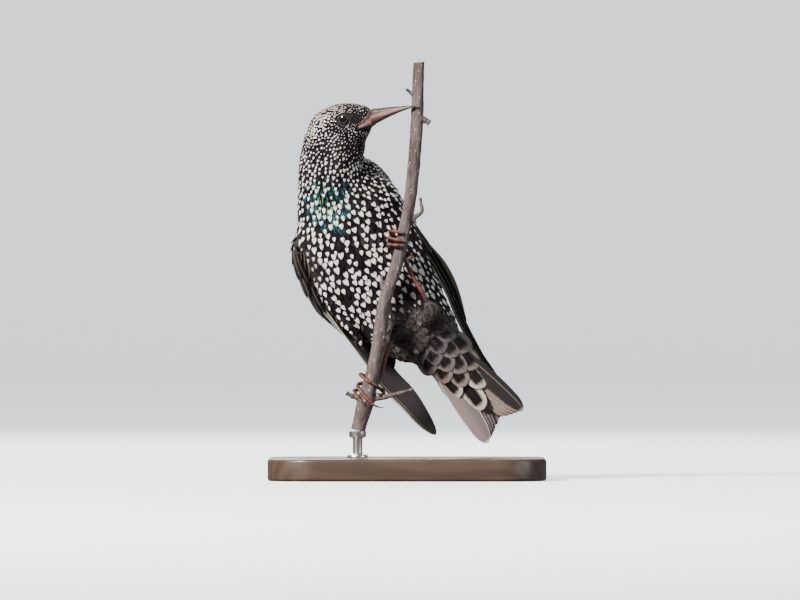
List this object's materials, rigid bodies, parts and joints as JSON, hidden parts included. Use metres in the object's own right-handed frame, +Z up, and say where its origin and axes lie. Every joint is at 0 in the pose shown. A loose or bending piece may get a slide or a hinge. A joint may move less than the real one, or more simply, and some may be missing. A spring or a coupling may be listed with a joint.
{
  "type": "starling",
  "caption": "Life-size still model of a starling in spotted winter plumage, clinging to a bare upright stem with its head turned aside, on a plain wooden display stand",
  "frame": {"origin": "centre of the underside of the stand's base, on the surface the model stands on", "axes": "+Z up, +X to the right of a viewer who faces the bird's belly, +Y away from that viewer"},
  "size_m": [0.15, 0.118, 0.226],
  "materials": {
    "plumage": "black feathers with a purple-brown and green gloss and pale spots, satin",
    "flight_feathers": "dark brown vanes with pale buff edges, satin",
    "bill": "pinkish brown horn with a pale ridge and a dark tip, satin",
    "eye": "very dark brown, wet gloss",
    "leg_skin": "red-brown scaled skin, satin",
    "claw": "dark horn, semi-gloss",
    "bark": "grey-pink bark with pale breathing pores, rough",
    "rod": "fine brushed, satin",
    "base": "dark stained hardwood, satin varnish"
  },
  "bodies": {
    "root": {"head": "plumage", "neck": "plumage", "torso": "plumage", "tail": "flight_feathers", "bill_upper": "bill", "bill_lower": "bill", "eye_right": "eye", "eye_left": "eye", "wing_right": "flight_feathers", "wing_left": "flight_feathers", "thigh_left": "plumage", "tarsus_left": "leg_skin", "foot_left": "leg_skin", "claw_left_1": "claw", "claw_left_2": "claw", "claw_left_3": "claw", "claw_left_4": "claw", "thigh_right": "plumage", "tarsus_right": "leg_skin", "foot_right": "leg_skin", "claw_right_1": "claw", "claw_right_2": "claw", "claw_right_3": "claw", "claw_right_4": "claw", "perch": "bark", "stand_rod": "rod", "stand_base": "base"}
  },
  "joints": []
}
